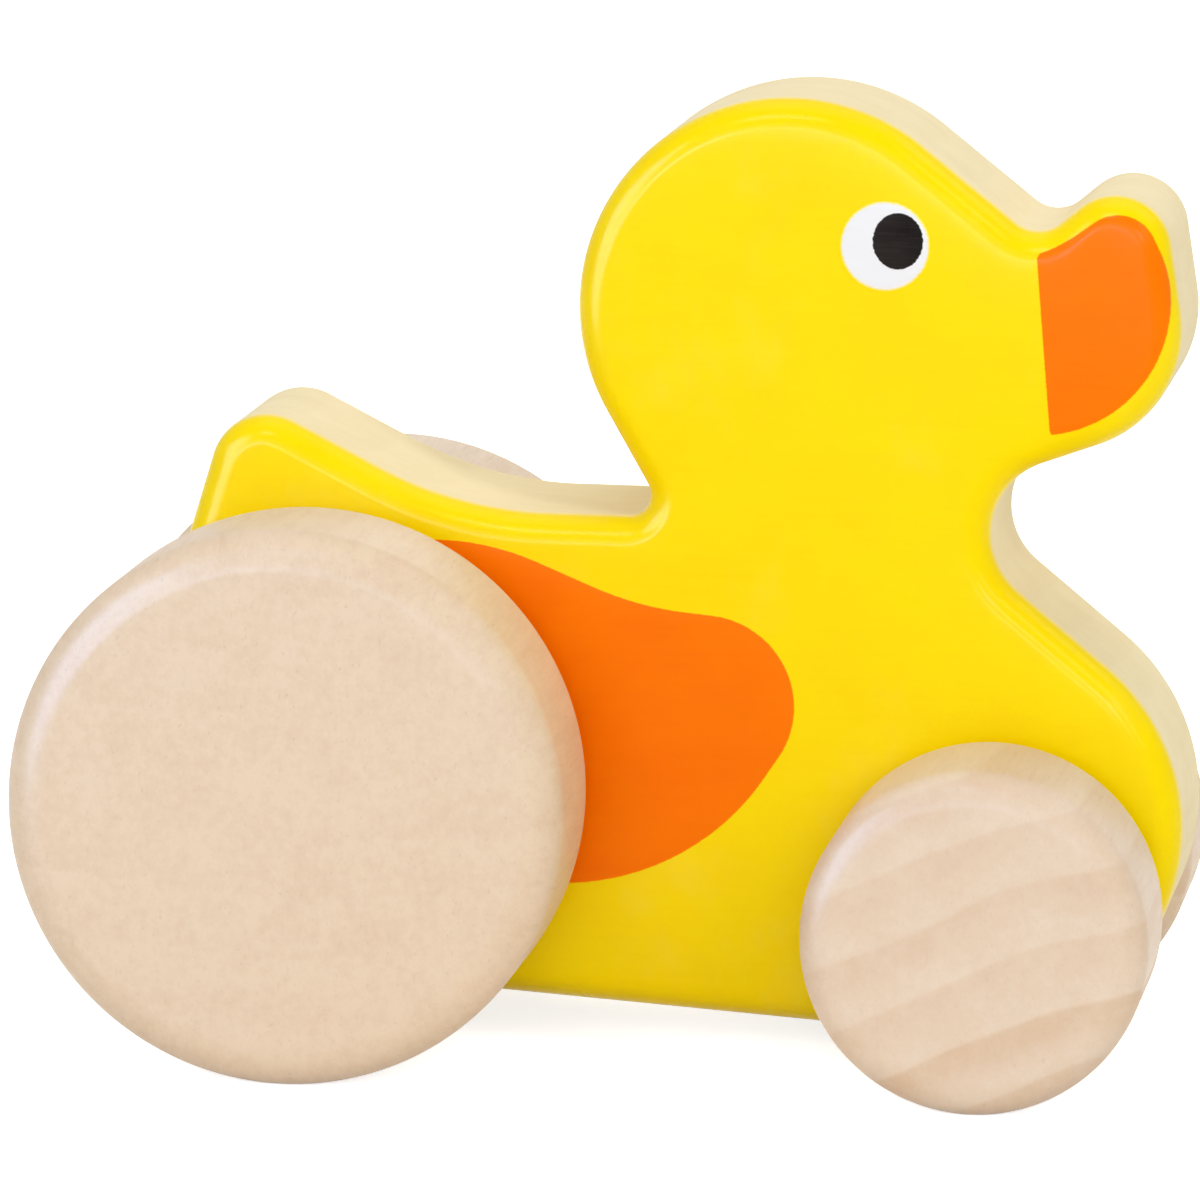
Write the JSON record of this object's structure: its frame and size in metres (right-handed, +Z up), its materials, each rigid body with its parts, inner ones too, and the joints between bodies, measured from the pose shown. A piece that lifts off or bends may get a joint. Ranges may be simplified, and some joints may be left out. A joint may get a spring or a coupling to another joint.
{
  "type": "wooden duck on wheels",
  "caption": "Wooden toy duck cut from a thick board, painted yellow with orange wing and bill, that rolls on solid disc wheels fixed to dowel axles.",
  "frame": {"origin": "on the floor, under the middle of the toy's length and width", "axes": "+X forwards along the toy towards the bill, +Y towards the duck's left side, +Z up"},
  "size_m": [0.107, 0.068, 0.0905],
  "materials": {
    "painted_wood": "satin yellow paint on both faces and over the rounded edges, bare pale wood on the sawn edge",
    "wheel_wood": "sanded pale beech with a thin clear coat",
    "dowel_wood": "plain turned beech dowel",
    "orange_print": "satin printed colour",
    "white_print": "satin printed colour",
    "black_print": "satin printed colour"
  },
  "bodies": {
    "duck": {"body": "painted_wood", "wing_right": "orange_print", "wing_left": "orange_print", "bill_right": "orange_print", "bill_left": "orange_print", "eye_right": "white_print", "eye_left": "white_print", "pupil_right": "black_print", "pupil_left": "black_print"},
    "rear_wheelset": {"rear_axle": "dowel_wood", "rear_wheel_right": "wheel_wood", "rear_wheel_left": "wheel_wood"},
    "front_wheelset": {"front_axle": "dowel_wood", "front_wheel_right": "wheel_wood", "front_wheel_left": "wheel_wood"}
  },
  "joints": [
    {"name": "rear_axle_spin", "type": "hinge", "parent": "duck", "child": "rear_wheelset", "pos_m": [-0.0275, 0, 0.026], "axis": [0, 1, 0], "continuous": true},
    {"name": "front_axle_spin", "type": "hinge", "parent": "duck", "child": "front_wheelset", "pos_m": [0.0364, 0, 0.016], "axis": [0, 1, 0], "continuous": true}
  ]
}
